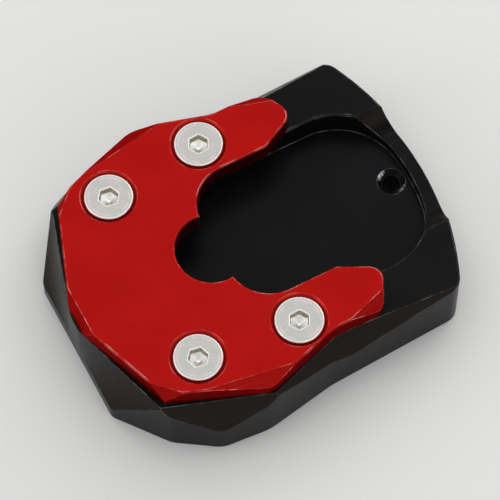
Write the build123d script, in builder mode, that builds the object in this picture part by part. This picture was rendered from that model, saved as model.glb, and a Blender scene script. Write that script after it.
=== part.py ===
from build123d import *
import os
from math import cos, radians, sin, sqrt

# Foot enlarger for a side stand: a pocketed base, a clamp plate and four countersunk screws.
# Millimetres. +X runs along the line of symmetry to the open end, +Z is up, the ground is Z = 0.
# Lengths run forward from the rear end of the base. Insets run inward from its half width.

# Main sizes
base_length = 89.3
base_half_width = 37.0
base_height = 18.0
plate_thickness = 5.4
pocket_depth = 7.6
lip_drop = 4.6

# Base outline
heel_half_width = 17.6
heel_radius = 2.7
flank_length = 9.25
flank_inset = 7.5
hip_length = 19.15
hip_inset = 1.0
hip_radius = 6.8
bulge_length = 30.65
bulge_radius = 13.5
waist_length = 48.05
waist_inset = 3.05
waist_radius = 22.0
toe_setback = 9.65
toe_inset = 4.65
base_front_radius = 72.0
base_front_corner_radius = 4.0
ground_edge = 0.4

# Bevels of the base, measured on its top face
ridge_half_width = 1.8
rear_wall_height = 4.5
rear_bevel_length = 7.95
rear_bevel_inset = 9.6
shoulder_bevel_length = 31.8
shoulder_bevel_inset = 1.25
shoulder_bevel_angle = 63.0
waist_bevel_length = 33.35
waist_bevel_inset = 1.25
waist_bevel_angle = 55.7
valley_length = 51.85
valley_inset = 7.25
side_bevel_setback = 10.35
side_bevel_inset = 5.3
side_bevel_angle = 57.3

# Pocket for the foot of the stand
pocket_wall = 1.15
pocket_rear_length = 24.35
pocket_rear_radius = 10.0
pocket_front_radius = 45.0
pocket_front_corner_radius = 15.8
lip_thickness = 3.05
lip_ramp_inset = 4.35
lip_ramp_width = 5.4
lip_ramp_hollow = 0.8
rim_edge = 0.35

# Drain hole in the pocket floor
drain_setback = 4.0
drain_offset = 1.1
drain_radius = 2.1
drain_mouth_radius = 3.35

# Clamp plate outline
tip_setback = 0.55
tip_half_width = 3.55
shoulder_length = 9.25
shoulder_inset = 10.05
plate_bulge_length = 31.95
plate_bulge_inset = 1.3
plate_bulge_radius = 5.6
plate_waist_length = 50.65
plate_waist_inset = 6.95
plate_waist_radius = 13.5
prong_length = 62.85
prong_inset = 6.7
prong_radius = 3.0
prong_tip_length = 67.3
prong_tip_inset = 15.27
prong_tip_radius = 3.4
throat_length = 57.75
throat_radius = 0.8
notch_length = 36.05
notch_overlap = 3.6
notch_radius = 10.0
relief_length = 35.0
relief_radius = 8.35
plate_edge = 0.3

# Facets on top of the clamp plate, each from a rear to a front point of its crease
tip_facet_run = 1.25
tip_facet_angle = 77.0
shoulder_facet_rear_length = 7.45
shoulder_facet_rear_inset = 14.45
shoulder_facet_front_length = 14.25
shoulder_facet_front_inset = 7.7
shoulder_facet_angle = 65.0
bulge_facet_rear_length = 21.25
bulge_facet_rear_inset = 6.4
bulge_facet_front_length = 36.85
bulge_facet_front_inset = 3.85
bulge_facet_angle = 37.0
prong_facet_rear_length = 54.9
prong_facet_rear_inset = 7.2
prong_facet_front_length = 62.3
prong_facet_front_inset = 9.6
prong_facet_angle = 45.0

# Countersunk screws and the holes they sit in
rear_screw_length = 20.1
rear_screw_inset = 14.75
front_screw_length = 44.3
front_screw_inset = 12.3
shank_radius = 3.0
clearance_gap = 0.2
head_radius = 5.65
head_recess = 0.05
head_edge = 0.18
head_land = 0.85
seat_gap = 0.02
thread_gap = 0.05
thread_length = 11.0
thread_runout = 1.6
shank_tip = 0.6
socket_across_flats = 4.0
socket_depth = 2.2
socket_point = 0.8
socket_edge = 0.15


def place(length, inset):
    """The point at a length from the rear end and an inset from the half width."""
    return base_length * -0.5 + length, base_half_width - inset


# Places that follow from the sizes above
base_rear_x = -base_length / 2
base_front_x = base_length / 2
heel = (base_rear_x, heel_half_width)
flank = place(flank_length, flank_inset)
hip = place(hip_length, hip_inset)
bulge = place(bulge_length, 0)
waist = place(waist_length, waist_inset)
toe = place(base_length - toe_setback, toe_inset)
rear_bevel = place(rear_bevel_length, rear_bevel_inset)
shoulder_bevel = place(shoulder_bevel_length, shoulder_bevel_inset)
waist_bevel = place(waist_bevel_length, waist_bevel_inset)
valley = place(valley_length, valley_inset)
side_bevel = place(base_length - side_bevel_setback, side_bevel_inset)
rear_screw = place(rear_screw_length, rear_screw_inset)
front_screw = place(front_screw_length, front_screw_inset)

plate_top = base_height + plate_thickness
pocket_floor = base_height - pocket_depth
lip_top = base_height - lip_drop
pocket_half_width = front_screw[1] - shank_radius - thread_gap - pocket_wall
pocket_rear = (base_rear_x + pocket_rear_length, pocket_half_width)
pocket_front_x = base_front_x - lip_thickness
lip_top_half_width = pocket_half_width - lip_ramp_inset
lip_half_width = lip_top_half_width - lip_ramp_width

tip = (base_rear_x + tip_setback, tip_half_width)
shoulder = place(shoulder_length, shoulder_inset)
plate_bulge = place(plate_bulge_length, plate_bulge_inset)
plate_waist = place(plate_waist_length, plate_waist_inset)
prong = place(prong_length, prong_inset)
prong_tip = place(prong_tip_length, prong_tip_inset)
notch_half_width = pocket_half_width - notch_overlap
throat = (base_rear_x + throat_length, notch_half_width)
notch = (base_rear_x + notch_length, notch_half_width)
relief_x = base_rear_x + relief_length
plate_facets = (
    (
        place(shoulder_facet_rear_length, shoulder_facet_rear_inset),
        place(shoulder_facet_front_length, shoulder_facet_front_inset),
        shoulder_facet_angle,
    ),
    (
        place(bulge_facet_rear_length, bulge_facet_rear_inset),
        place(bulge_facet_front_length, bulge_facet_front_inset),
        bulge_facet_angle,
    ),
    (
        place(prong_facet_rear_length, prong_facet_rear_inset),
        place(prong_facet_front_length, prong_facet_front_inset),
        prong_facet_angle,
    ),
)

sink_radius = head_radius + seat_gap + head_recess + head_land
head_top = plate_top - head_recess
seat_top = head_top - head_land
neck_top = seat_top - (head_radius - shank_radius)
shank_end = base_height - thread_length
clearance_radius = shank_radius + clearance_gap
tapped_radius = shank_radius + thread_gap

screw_places = {
    "screw_front_left": (front_screw[0], front_screw[1], 2.5),
    "screw_front_right": (front_screw[0], -front_screw[1], 2.5),
    "screw_rear_left": (rear_screw[0], rear_screw[1], -7.0),
    "screw_rear_right": (rear_screw[0], -rear_screw[1], -10.0),
}
screw_points = [(x, y) for x, y, turn in screw_places.values()]


def upright_edges(solid, point):
    """The upright edges at a place and at its mirror place."""
    edges = solid.edges().filter_by(Axis.Z)
    at_x = edges.filter_by(lambda e: abs(e.center().X - point[0]) < 0.01)
    return at_x.filter_by(lambda e: abs(abs(e.center().Y) - point[1]) < 0.01)


def front_corners(solid):
    """The two upright edges that lie farthest forward, off the axis."""
    edges = solid.edges().filter_by(Axis.Z)
    return edges.filter_by(lambda e: abs(e.center().Y) > 1).group_by(Axis.X)[-1]


def is_rim(edge):
    """True for the pocket rim and the outer edge of the front pads."""
    middle = edge.center()
    beside = abs(middle.Y) < pocket_half_width + rim_edge
    return (beside and middle.X > pocket_rear[0] - rim_edge) or middle.X > side_bevel[0]


def falling_plane(start, end, height, angle, side):
    """A plane through a line at a height that falls outward at an angle."""
    first = Vector(start[0], side * start[1], height)
    last = Vector(end[0], side * end[1], height)
    along = (last - first).normalized()
    outward = Vector(-along.Y * side, along.X * side, 0)
    normal = outward * sin(radians(angle)) + Vector(0, 0, cos(radians(angle)))
    return Plane(origin=first, x_dir=along, z_dir=normal)


# Rear bevel of the base: a twisted face from the ridge on the axis to the flank
past = 1.2
bevel_reach = 0.7 * heel_half_width
bevel_rise = (base_height - rear_wall_height) * past
heel_end_y = ridge_half_width + (heel_half_width - ridge_half_width) * past
flank_end_y = ridge_half_width + (rear_bevel[1] - ridge_half_width) * past
flank_run_x = (rear_bevel[0] - base_rear_x) * past * past
flank_run_y = (flank_end_y - heel_end_y) * past
flank_run = sqrt(flank_run_x**2 + flank_run_y**2)
ridge_plane = Plane(
    origin=(base_rear_x, ridge_half_width, rear_wall_height), x_dir=(-1, 0, 0), z_dir=(0, 1, 0)
)
flank_plane = Plane(
    origin=(base_rear_x, heel_end_y, rear_wall_height),
    x_dir=(-flank_run_x, -flank_run_y, 0),
    z_dir=(-flank_run_y, flank_run_x, 0),
)
with BuildPart() as rear_cut:
    for section_plane, run in ((flank_plane, flank_run), (ridge_plane, 0)):
        with BuildSketch(section_plane):
            with BuildLine():
                Polyline(
                    (0, 0), (-run, bevel_rise), (bevel_reach, bevel_rise), (bevel_reach, 0), close=True
                )
            make_face()
    loft(ruled=True)
    mirror(about=Plane.XZ)

# Side bevel of the base: two falling planes that meet in a valley at the waist
with BuildPart() as side_cut:
    with BuildSketch(Plane.XY):
        with BuildLine():
            Polyline(
                (-base_length, 0),
                (base_length, 0),
                (base_length, base_length),
                (-base_length, base_length),
                close=True,
            )
        make_face()
    extrude(amount=2 * base_height)
    split(
        bisect_by=falling_plane(waist_bevel, valley, base_height, waist_bevel_angle, 1), keep=Keep.TOP
    )
    split(bisect_by=falling_plane(valley, side_bevel, base_height, side_bevel_angle, 1), keep=Keep.TOP)
    mirror(about=Plane.XZ)

# Pocket of the base
with BuildPart() as pocket_cut:
    with BuildSketch(Plane.XY.offset(pocket_floor)):
        with BuildLine():
            Polyline(
                (pocket_rear[0], 0),
                pocket_rear,
                (pocket_front_x, pocket_half_width),
                (pocket_front_x, 0),
            )
            mirror(about=Plane.XZ)
        make_face()
        with Locations((pocket_front_x - pocket_front_radius, 0)):
            Circle(pocket_front_radius, mode=Mode.INTERSECT)
    extrude(amount=pocket_depth)
    fillet(front_corners(pocket_cut), pocket_front_corner_radius)
    fillet(upright_edges(pocket_cut, pocket_rear), pocket_rear_radius)

# Base plate
with BuildPart() as base_plate:
    with BuildSketch(Plane.XY):
        with BuildLine():
            Polyline(
                (base_rear_x, 0),
                heel,
                flank,
                hip,
                bulge,
                waist,
                toe,
                (base_front_x, toe[1]),
                (base_front_x, 0),
            )
            mirror(about=Plane.XZ)
        make_face()
        with Locations((base_front_x - base_front_radius, 0)):
            Circle(base_front_radius, mode=Mode.INTERSECT)
    extrude(amount=base_height)
    fillet(front_corners(base_plate), base_front_corner_radius)
    for corner, radius in (
        (heel, heel_radius),
        (flank, hip_radius),
        (hip, hip_radius),
        (bulge, bulge_radius),
        (waist, waist_radius),
    ):
        fillet(upright_edges(base_plate, corner), radius)
    chamfer(base_plate.faces().sort_by(Axis.Z)[0].edges(), ground_edge)
    add(rear_cut.part, mode=Mode.SUBTRACT)
    for side in (1, -1):
        shoulder_plane = falling_plane(
            rear_bevel, shoulder_bevel, base_height, shoulder_bevel_angle, side
        )
        split(bisect_by=shoulder_plane, keep=Keep.BOTTOM)
    add(side_cut.part, mode=Mode.SUBTRACT)
    add(pocket_cut.part, mode=Mode.SUBTRACT)
    with BuildSketch(Plane.YZ.offset(prong_tip[0])):
        with BuildLine():
            Polyline((-lip_half_width, lip_top), (lip_half_width, lip_top))
            SagittaArc((lip_half_width, lip_top), (lip_top_half_width, base_height), -lip_ramp_hollow)
            Polyline((lip_top_half_width, base_height), (-lip_top_half_width, base_height))
            SagittaArc((-lip_top_half_width, base_height), (-lip_half_width, lip_top), -lip_ramp_hollow)
        make_face()
    extrude(amount=base_length, mode=Mode.SUBTRACT)
    top_edges = base_plate.faces().sort_by(Axis.Z)[-1].outer_wire().edges()
    chamfer(top_edges.filter_by(is_rim), rim_edge)
    with Locations(*[(x, y, base_height) for x, y in screw_points]):
        Hole(tapped_radius, depth=thread_length + thread_runout)
    with Locations((pocket_front_x - drain_setback, drain_offset, pocket_floor)):
        CounterSinkHole(drain_radius, drain_mouth_radius, counter_sink_angle=90)
base_plate.part.label = "base_plate"

# Clamp plate
with BuildPart() as clamp_plate:
    with BuildSketch(Plane.XY.offset(base_height)):
        with BuildLine():
            Polyline(
                (tip[0], 0),
                tip,
                shoulder,
                plate_bulge,
                plate_waist,
                prong,
                prong_tip,
                throat,
                notch,
                (notch[0], 0),
            )
            mirror(about=Plane.XZ)
        make_face()
    extrude(amount=plate_thickness)
    for corner, radius in (
        (plate_bulge, plate_bulge_radius),
        (plate_waist, plate_waist_radius),
        (prong, prong_radius),
        (prong_tip, prong_tip_radius),
        (throat, throat_radius),
        (notch, notch_radius),
    ):
        fillet(upright_edges(clamp_plate, corner), radius)
    with Locations((relief_x, 0, plate_top)):
        Hole(relief_radius)
    chamfer(clamp_plate.faces().sort_by(Axis.Z)[-1].edges(), plate_edge)
    tip_plane = Plane(
        origin=(tip[0] + tip_facet_run, 0, plate_top),
        x_dir=(0, 1, 0),
        z_dir=(-sin(radians(tip_facet_angle)), 0, cos(radians(tip_facet_angle))),
    )
    split(bisect_by=tip_plane, keep=Keep.BOTTOM)
    for side in (1, -1):
        for rear, ahead, angle in plate_facets:
            split(bisect_by=falling_plane(rear, ahead, plate_top, angle, side), keep=Keep.BOTTOM)
    with Locations(*[(x, y, plate_top) for x, y in screw_points]):
        CounterSinkHole(clearance_radius, sink_radius, counter_sink_angle=90)
clamp_plate.part.label = "clamp_plate"

os.makedirs("parts", exist_ok=True)
export_step(base_plate.part, "parts/base_plate.step")
export_step(clamp_plate.part, "parts/clamp_plate.step")

# Countersunk socket screws
for name, (x, y, turn) in screw_places.items():
    with BuildPart() as screw:
        with BuildSketch(Plane(origin=(x, y, 0), x_dir=(1, 0, 0), z_dir=(0, -1, 0))):
            with BuildLine():
                Polyline(
                    (0, head_top),
                    (head_radius - head_edge, head_top),
                    (head_radius, head_top - head_edge),
                    (head_radius, seat_top),
                    (shank_radius, neck_top),
                    (shank_radius, shank_end + shank_tip),
                    (shank_radius - shank_tip, shank_end),
                    (0, shank_end),
                    close=True,
                )
            make_face()
        revolve(axis=Axis((x, y, 0), (0, 0, 1)))
        turned = (cos(radians(turn)), sin(radians(turn)), 0)
        with BuildSketch(Plane(origin=(x, y, head_top), x_dir=turned, z_dir=(0, 0, 1))):
            RegularPolygon(socket_across_flats / 2, 6, major_radius=False)
        extrude(amount=-socket_depth, mode=Mode.SUBTRACT)
        with Locations((x, y, head_top - socket_depth)):
            Cone(
                0,
                socket_across_flats / 2,
                socket_point,
                align=(Align.CENTER, Align.CENTER, Align.MAX),
                mode=Mode.SUBTRACT,
            )
        head_face = screw.faces().sort_by(Axis.Z)[-1]
        chamfer(head_face.inner_wires()[0].edges(), socket_edge)
    screw.part.label = name
    export_step(screw.part, f"parts/{name}.step")
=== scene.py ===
import bpy
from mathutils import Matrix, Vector


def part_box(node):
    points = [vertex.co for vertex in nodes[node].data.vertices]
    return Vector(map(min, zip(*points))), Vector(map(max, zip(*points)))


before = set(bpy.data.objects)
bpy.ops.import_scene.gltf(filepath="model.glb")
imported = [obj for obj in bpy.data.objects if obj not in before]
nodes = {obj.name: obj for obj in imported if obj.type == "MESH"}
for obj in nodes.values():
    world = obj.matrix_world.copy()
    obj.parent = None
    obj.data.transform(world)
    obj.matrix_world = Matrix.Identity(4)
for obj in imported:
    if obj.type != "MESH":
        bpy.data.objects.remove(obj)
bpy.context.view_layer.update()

MM = 0.001
PER_MM = 1000.0

# Camera of the photograph, in millimetres
CAMERA_PLACE = Vector((-149.1, -285.9, 723.1)) * MM
CAMERA_TARGET = Vector((-2.26, -4.48, 23.45)) * MM
CAMERA_LENS = 245.3
CAMERA_SENSOR = 36.0

# Places and sizes on the part, in millimetres
SCREWS = ("screw_front_left", "screw_front_right", "screw_rear_left", "screw_rear_right")
HEAD_TOP = 23.35
RIDGE_RADIUS = 4.7
SOCKET_REACH = 2.35
SINK_REACH = 6.9
DRAIN = (37.6, 1.1)
GLINT_LINE = (0.5, -0.87, 0.0)
PLATE_EDGE_RADIUS = 0.32
HEAD_EDGE_RADIUS = 0.26
# Width of the painted highlight on the rims of the heads
RIM_HIGHLIGHT_RADIUS = 0.42

# Noise scales, in features for each millimetre
RED_GRAIN_SCALE = 3.4
RED_CLOUD_SCALE = 0.07
BLACK_GRAIN_SCALE = 3.0
BLACK_CLOUD_SCALE = 0.06
STEEL_GRAIN_SCALE = 2.2
STEEL_HUE_SCALE = 0.4
RING_SCALE = 5.0
# Size of the patches of painted edge glints
EDGE_GLINT_SCALE = 0.22
GLINT_SCALE = 1.4
MILLED_STRETCH = (0.05, 0.05, 5.5)

# Light and floor
LAMPS = (
    ("top_light", (0.19, 0.37, 0.91), 1.4, 5.0),
    ("front_light", (0.1, -1.0, 0.3), 0.9, 1.8),
    ("left_light", (-1.0, 0.1, 0.35), 0.6, 1.5),
    ("right_light", (0.95, 0.3, 0.35), 0.6, 1.5),
)
WORLD_STRENGTH = 0.5
FLOOR_SIZE = 6.0
FLOOR_TONE = (0.86, 0.86, 0.85, 1.0)


def rgb(red, green, blue):
    """A colour written as screen values from 0 to 255."""
    linear = []
    for value in (red, green, blue):
        share = value / 255
        linear.append(share / 12.92 if share <= 0.04045 else ((share + 0.055) / 1.055) ** 2.4)
    return (*linear, 1.0)


# Colours of the red plate
RED_DEEP = rgb(156, 18, 17)
RED_LIGHT = rgb(163, 20, 18)
# Painted shade for the upright walls
RED_WALL_SHADE = rgb(84, 7, 7)
# Painted light for the countersink cones
RED_CONE_PAINTED_LIGHT = rgb(232, 58, 50)
RED_GRAIN = rgb(190, 34, 30)
RED_LINES = rgb(206, 58, 50)
# Painted highlight and painted glints along the plate's edges
RED_EDGE_HIGHLIGHT = rgb(214, 56, 48)
RED_EDGE_GLINT = rgb(248, 176, 164)
RED_GLOSS = (0.9, 0.2, 0.18, 1.0)

# Colours of the black base
BLACK_DEEP = rgb(13, 13, 14)
BLACK_LIGHT = rgb(18, 18, 18)
# Painted light for the sloping bevels
BLACK_BEVEL_PAINTED_LIGHT = rgb(34, 28, 25)
BLACK_GRAIN = rgb(25, 25, 25)
BLACK_LINES = rgb(38, 34, 32)
# Painted highlight and painted glints along the base's edges
BLACK_EDGE_HIGHLIGHT = rgb(60, 59, 59)
BLACK_EDGE_GLINT = rgb(128, 126, 125)
# Painted glints at the mouth of the drain hole
PAINTED_DRAIN_GLINT = rgb(232, 236, 244)

# Colours of the screws
STEEL_GREENISH = rgb(168, 172, 165)
STEEL_PINKISH = rgb(181, 173, 173)
STEEL_RINGS = rgb(188, 186, 182)
STEEL_RIDGE = rgb(226, 223, 220)
STEEL_SPECKS = rgb(150, 146, 141)
# Painted highlight for the rim of the head
STEEL_RIM_HIGHLIGHT = rgb(255, 253, 250)
# Painted shade for the socket walls, painted light for the socket floor
SOCKET_WALL_SHADE = rgb(190, 176, 156)
SOCKET_FLOOR_LIGHT = rgb(255, 255, 252)


class Material:
    """A node material with short calls for the nodes that it needs."""

    def __init__(self, name):
        self.block = bpy.data.materials.new(name)
        self.block.use_nodes = True
        self.tree = self.block.node_tree
        self.shader = self.tree.nodes["Principled BSDF"]

    def node(self, kind, **settings):
        node = self.tree.nodes.new(kind)
        for key, value in settings.items():
            setattr(node, key, value)
        return node

    def feed(self, socket, value):
        """Links a socket to another, or gives it a plain value."""
        if isinstance(value, bpy.types.NodeSocket):
            self.tree.links.new(value, socket)
        else:
            socket.default_value = value

    def set(self, name, value):
        """Feeds one of the shader's own sockets."""
        self.feed(self.shader.inputs[name], value)

    def math(self, operation, first, second=0.0):
        node = self.node("ShaderNodeMath", operation=operation)
        self.feed(node.inputs[0], first)
        self.feed(node.inputs[1], second)
        return node.outputs[0]

    def times(self, first, second):
        return self.math("MULTIPLY", first, second)

    def vector(self, operation, first, second=(0.0, 0.0, 0.0), output="Vector"):
        node = self.node("ShaderNodeVectorMath", operation=operation)
        self.feed(node.inputs[0], first)
        self.feed(node.inputs[1], second)
        return node.outputs[output]

    def place(self):
        """The place on the part in millimetres."""
        coordinates = self.node("ShaderNodeTexCoord")
        return self.vector("MULTIPLY", coordinates.outputs["Object"], (PER_MM, PER_MM, PER_MM))

    def height(self, vector):
        """The upward part of a vector."""
        split = self.node("ShaderNodeSeparateXYZ")
        self.feed(split.inputs[0], vector)
        return split.outputs["Z"]

    def away(self, place, centre):
        """Level distance from a centre."""
        level = self.vector("MULTIPLY", place, (1.0, 1.0, 0.0))
        return self.vector("DISTANCE", level, (centre[0], centre[1], 0.0), "Value")

    def noise(self, vector, scale, detail=3.0, roughness=0.55):
        node = self.node("ShaderNodeTexNoise")
        self.feed(node.inputs["Vector"], vector)
        node.inputs["Scale"].default_value = scale
        node.inputs["Detail"].default_value = detail
        node.inputs["Roughness"].default_value = roughness
        return node.outputs["Fac"]

    def band(self, value, start, end, low=0.0, high=1.0):
        """Runs smoothly from low to high while the value runs from start to end."""
        node = self.node("ShaderNodeMapRange", interpolation_type="SMOOTHSTEP")
        self.feed(node.inputs["Value"], value)
        node.inputs["From Min"].default_value = start
        node.inputs["From Max"].default_value = end
        node.inputs["To Min"].default_value = low
        node.inputs["To Max"].default_value = high
        return node.outputs["Result"]

    def mix(self, share, first, second):
        """One colour blended into another."""
        node = self.node("ShaderNodeMix", data_type="RGBA")
        self.feed(node.inputs[0], share)
        self.feed(node.inputs[6], first)
        self.feed(node.inputs[7], second)
        return node.outputs[2]

    def steepness(self):
        """Nought on level faces, one on upright ones."""
        geometry = self.node("ShaderNodeNewGeometry")
        upward = self.height(geometry.outputs["Normal"])
        return self.math("SUBTRACT", 1.0, self.math("ABSOLUTE", upward))

    def edges(self, radius, start=0.998, end=0.95):
        """One along the edges and nought on flat faces, with the rounded normal."""
        bevel = self.node("ShaderNodeBevel", samples=8)
        bevel.inputs["Radius"].default_value = radius * MM
        rounded = bevel.outputs["Normal"]
        flat = self.node("ShaderNodeNewGeometry").outputs["Normal"]
        along = self.vector("DOT_PRODUCT", rounded, flat, "Value")
        return self.band(along, start, end), rounded

    def bump(self, height, depth, strength, normal):
        node = self.node("ShaderNodeBump")
        self.feed(node.inputs["Height"], height)
        self.feed(node.inputs["Normal"], normal)
        node.inputs["Distance"].default_value = depth * MM
        node.inputs["Strength"].default_value = strength
        return node.outputs["Normal"]


def milled(m, place):
    """Fine level lines that a cutter leaves on sloping and upright faces."""
    lines = m.noise(m.vector("MULTIPLY", place, MILLED_STRETCH), 1.0, 2.0, 0.6)
    return m.times(m.math("SUBTRACT", lines, 0.5), m.band(m.steepness(), 0.03, 0.2))


def edge_highlights(m, tone, edge, place, dull, bright):
    """Painted highlights: edges a little lighter than the face, with bright painted glints
    that come and go.
    """
    patches = m.noise(place, EDGE_GLINT_SCALE, 4.0, 0.6)
    tone = m.mix(m.times(edge, 0.75), tone, dull)
    return m.mix(m.times(edge, m.band(patches, 0.44, 0.64)), tone, bright)


def drain_glints(m, place):
    """Two painted glints across the mouth of the drain hole, one stronger than the other."""
    radius = m.away(place, DRAIN)
    across = m.vector("SUBTRACT", place, (*DRAIN, 0.0))
    along = m.math("DIVIDE", m.vector("DOT_PRODUCT", across, GLINT_LINE, "Value"), radius)
    spots = m.math("ADD", m.band(along, -0.86, -1.0), m.band(along, 0.9, 1.0, 0.0, 0.35))
    ragged = m.times(spots, m.band(m.noise(place, GLINT_SCALE, 3.0, 0.7), 0.36, 0.6))
    mouth = m.times(m.band(radius, 2.5, 2.9), m.band(radius, 3.6, 3.4))
    return m.times(m.times(ragged, mouth), m.band(m.steepness(), 0.1, 0.25))


def red_anodised(sinks):
    """Satin red, painted lighter in the countersinks (painted light) and painted darker on the
    upright walls (painted shade).
    """
    m = Material("red_anodised")
    place = m.place()
    grain = m.noise(place, RED_GRAIN_SCALE, 3.0, 0.7)
    cloud = m.noise(place, RED_CLOUD_SCALE, 2.0)
    lines = milled(m, place)
    edge, rounded = m.edges(PLATE_EDGE_RADIUS)

    # Countersinks and their rims; the countersink cones are painted lighter as painted light
    nearest = m.away(place, sinks[0])
    for centre in sinks[1:]:
        nearest = m.math("MINIMUM", nearest, m.away(place, centre))
    by_sink = m.band(nearest, SINK_REACH, SINK_REACH - 0.3)
    painted_cone_light = m.times(by_sink, m.band(m.steepness(), 0.1, 0.25))
    rim = m.times(edge, m.band(nearest, SINK_REACH, SINK_REACH + 0.3, 0.45, 1.0))

    tone = m.mix(m.band(cloud, 0.3, 0.7), RED_DEEP, RED_LIGHT)
    # Upright walls painted darker: painted shade
    tone = m.mix(m.band(m.steepness(), 0.9, 0.98, 0.0, 0.6), tone, RED_WALL_SHADE)
    # Countersink cones painted lighter: painted light
    tone = m.mix(m.times(painted_cone_light, 0.45), tone, RED_CONE_PAINTED_LIGHT)
    tone = m.mix(m.band(grain, 0.52, 0.8, 0.0, 0.35), tone, RED_GRAIN)
    tone = m.mix(m.band(lines, 0.05, 0.3, 0.0, 0.4), tone, RED_LINES)
    # Edges painted lighter with painted glints, weaker at the countersink mouths
    tone = edge_highlights(m, tone, rim, place, RED_EDGE_HIGHLIGHT, RED_EDGE_GLINT)
    relief = m.math("ADD", grain, m.times(lines, 2.0))
    m.set("Base Color", tone)
    m.set("Roughness", m.band(grain, 0.3, 0.7, 0.36, 0.46))
    m.set("Normal", m.bump(relief, 0.02, 0.25, rounded))
    m.set("Metallic", 0.95)
    m.set("Specular Tint", RED_GLOSS)
    return m.block


def black_anodised():
    """Satin black, painted lighter and warmer on the bevels as painted light, with painted
    glints at the drain.
    """
    m = Material("black_anodised")
    place = m.place()
    grain = m.noise(place, BLACK_GRAIN_SCALE, 3.0, 0.7)
    cloud = m.noise(place, BLACK_CLOUD_SCALE, 2.0)
    lines = milled(m, place)
    edge, rounded = m.edges(PLATE_EDGE_RADIUS)
    # Sloping faces, away from the drain, painted lighter and warmer: painted light
    slope = m.times(m.band(m.steepness(), 0.12, 0.3), m.band(m.steepness(), 0.95, 0.7))
    bevel = m.times(slope, m.band(m.away(place, DRAIN), 4.0, 5.0))
    tone = m.mix(m.band(cloud, 0.3, 0.7), BLACK_DEEP, BLACK_LIGHT)
    tone = m.mix(m.times(bevel, 0.8), tone, BLACK_BEVEL_PAINTED_LIGHT)
    tone = m.mix(m.band(grain, 0.52, 0.8, 0.0, 0.5), tone, BLACK_GRAIN)
    tone = m.mix(m.band(lines, 0.05, 0.3, 0.0, 0.5), tone, BLACK_LINES)
    # Edges painted lighter with painted glints
    tone = edge_highlights(m, tone, edge, place, BLACK_EDGE_HIGHLIGHT, BLACK_EDGE_GLINT)
    # Painted glints at the drain's mouth
    tone = m.mix(drain_glints(m, place), tone, PAINTED_DRAIN_GLINT)
    relief = m.math("ADD", grain, m.times(lines, 2.0))
    m.set("Base Color", tone)
    m.set("Roughness", m.band(grain, 0.3, 0.7, 0.22, 0.36))
    m.set("Normal", m.bump(relief, 0.015, 0.2, rounded))
    m.set("Metallic", 0.0)
    m.set("Specular IOR Level", 0.06)
    return m.block


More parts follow.
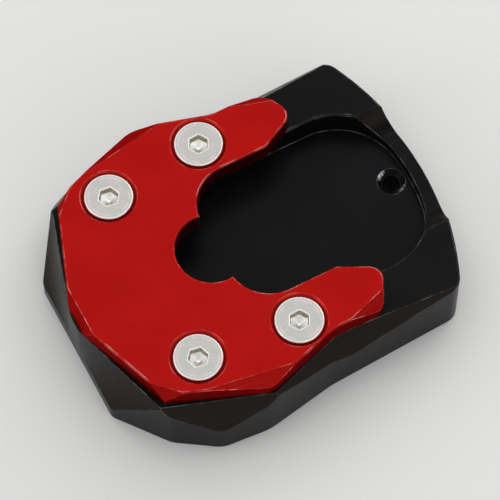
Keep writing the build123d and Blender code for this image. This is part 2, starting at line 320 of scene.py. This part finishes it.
def turned_steel(name, centre):
    """Bright turned steel with rings about the screw's own centre."""
    m = Material(name)
    place = m.place()
    radius = m.away(place, centre)
    ringed = m.node("ShaderNodeCombineXYZ")
    m.feed(ringed.inputs[0], radius)
    rings = m.noise(ringed.outputs[0], RING_SCALE, 3.0, 0.6)
    grain = m.noise(place, STEEL_GRAIN_SCALE, 4.0, 0.7)
    hue = m.noise(place, STEEL_HUE_SCALE, 2.0)
    edge, rounded = m.edges(HEAD_EDGE_RADIUS)
    rim_highlight = m.edges(RIM_HIGHLIGHT_RADIUS, 0.9995, 0.985)[0]

    # Socket, with a floor painted bright as painted light and walls painted darker as painted
    # shade
    depth = m.math("SUBTRACT", HEAD_TOP, m.height(place))
    near_axis = m.band(radius, SOCKET_REACH + 0.2, SOCKET_REACH)
    inside = m.times(m.band(depth, 0.2, 0.5), near_axis)
    socket = m.mix(m.band(m.steepness(), 0.6, 0.3), SOCKET_WALL_SHADE, SOCKET_FLOOR_LIGHT)

    # Faint ring on the face of the head
    from_ridge = m.math("ABSOLUTE", m.math("SUBTRACT", radius, RIDGE_RADIUS))
    ridge = m.times(m.band(from_ridge, 0.2, 0.05), m.band(hue, 0.4, 0.6, 0.0, 0.3))

    tone = m.mix(m.band(hue, 0.35, 0.65), STEEL_GREENISH, STEEL_PINKISH)
    tone = m.mix(m.band(rings, 0.35, 0.65, 0.0, 0.5), tone, STEEL_RINGS)
    tone = m.mix(ridge, tone, STEEL_RIDGE)
    tone = m.mix(m.band(grain, 0.6, 0.85, 0.0, 0.4), tone, STEEL_SPECKS)
    # Rim of the head painted bright: painted highlight
    tone = m.mix(m.math("MAXIMUM", edge, m.times(rim_highlight, 0.85)), tone, STEEL_RIM_HIGHLIGHT)
    # Socket painted with light and shade
    tone = m.mix(inside, tone, socket)
    m.set("Base Color", tone)
    m.set("Roughness", m.band(grain, 0.3, 0.7, 0.26, 0.4))
    m.set("Normal", m.bump(rings, 0.012, 0.35, rounded))
    m.set("Metallic", 1.0)
    return m.block


def dress(name, material):
    """Gives a node of the part its material."""
    mesh = nodes[name].data
    mesh.materials.clear()
    mesh.materials.append(material)


def dress_part():
    centres = {}
    for screw in SCREWS:
        low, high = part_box(screw)
        centres[screw] = [(low[i] + high[i]) / 2 * PER_MM for i in range(3)]
    dress("base_plate", black_anodised())
    dress("clamp_plate", red_anodised(list(centres.values())))
    for screw, centre in centres.items():
        dress(screw, turned_steel("steel_" + screw, centre))


def pale_floor():
    m = Material("pale_floor")
    m.set("Base Color", FLOOR_TONE)
    m.set("Roughness", 0.7)
    m.set("Specular IOR Level", 0.2)
    bpy.ops.mesh.primitive_plane_add(size=FLOOR_SIZE, location=(0, 0, 0))
    floor = bpy.context.object
    floor.name = "floor"
    floor.data.materials.append(m.block)


def soft_lamp(name, place, size, power):
    """A square lamp that faces the part."""
    lamp = bpy.data.lights.new(name, "AREA")
    lamp.shape = "SQUARE"
    lamp.size = size
    lamp.energy = power
    holder = bpy.data.objects.new(name, lamp)
    holder.location = place
    holder.rotation_euler = (-Vector(place)).to_track_quat("-Z", "Y").to_euler()
    bpy.context.collection.objects.link(holder)


def studio():
    for name, place, size, power in LAMPS:
        soft_lamp(name, place, size, power)
    world = bpy.data.worlds.new("studio")
    world.use_nodes = True
    background = world.node_tree.nodes["Background"]
    background.inputs["Color"].default_value = (1.0, 1.0, 1.0, 1.0)
    background.inputs["Strength"].default_value = WORLD_STRENGTH
    bpy.context.scene.world = world
    bpy.context.scene.view_settings.view_transform = "Standard"


def photo_camera():
    lens = bpy.data.cameras.new("photo_camera")
    lens.lens = CAMERA_LENS
    lens.sensor_width = CAMERA_SENSOR
    camera = bpy.data.objects.new("photo_camera", lens)
    camera.location = CAMERA_PLACE
    camera.rotation_euler = (CAMERA_TARGET - CAMERA_PLACE).to_track_quat("-Z", "Y").to_euler()
    bpy.context.collection.objects.link(camera)
    bpy.context.scene.camera = camera


dress_part()
pale_floor()
studio()
photo_camera()
